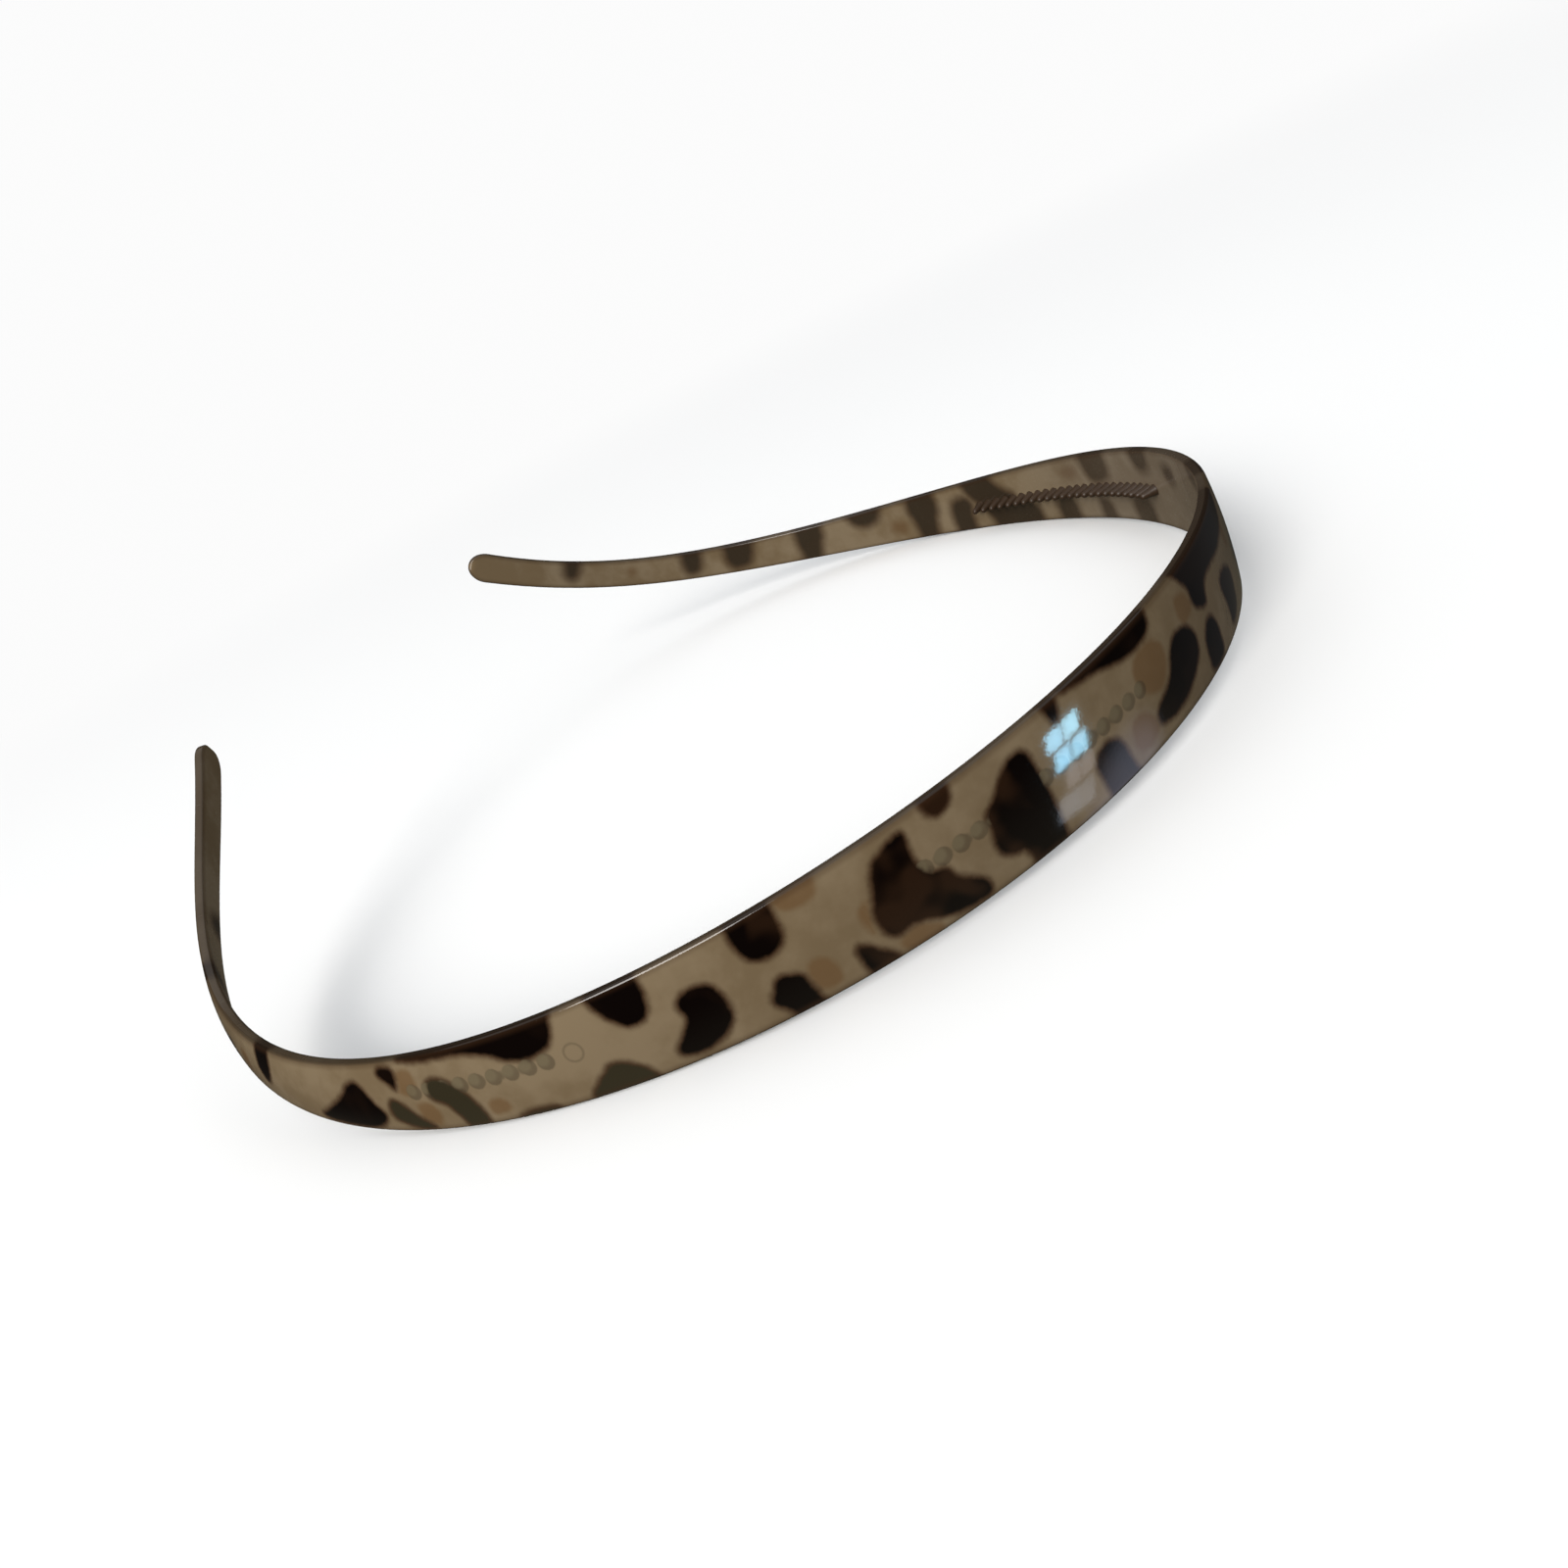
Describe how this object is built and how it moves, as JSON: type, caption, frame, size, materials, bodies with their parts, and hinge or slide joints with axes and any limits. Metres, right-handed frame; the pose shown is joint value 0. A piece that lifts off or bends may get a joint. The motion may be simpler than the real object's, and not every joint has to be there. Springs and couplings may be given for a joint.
{
  "type": "hoop headband",
  "caption": "Springy hoop headband: a narrow twisted plastic band with a blotched tortoiseshell face film and rows of small comb pegs on its inner face, opening at the tips to go over the head.",
  "frame": {"origin": "middle of the bounding box in plan, at the height of the lowest edge", "axes": "+Z across the band's width, +X from the open tips to the crown, +Y towards the right arm"},
  "size_m": [0.1352, 0.1452, 0.0324],
  "materials": {
    "clear_moulding": "gloss",
    "horn_film": "gloss",
    "dark_blotch": "gloss",
    "amber_blotch": "gloss"
  },
  "bodies": {
    "right_half": {"crown_band": "clear_moulding", "right_band": "clear_moulding", "crown_film": "horn_film", "right_film": "horn_film", "crown_blotches": "dark_blotch", "right_blotches": "dark_blotch", "crown_amber": "amber_blotch", "right_amber": "amber_blotch", "right_comb": "clear_moulding"},
    "left_half": {"left_band": "clear_moulding", "left_film": "horn_film", "left_blotches": "dark_blotch", "left_amber": "amber_blotch", "left_comb": "clear_moulding"}
  },
  "joints": [
    {"name": "spread", "type": "hinge", "parent": "right_half", "child": "left_half", "pos_m": [0.06681, 0, 0.00859], "axis": [0, 0, 1], "range_deg": [-6, 30], "stiffness_Nm_per_rad": 0.6, "deforming": ["crown_band", "crown_film", "crown_blotches", "crown_amber"]}
  ]
}
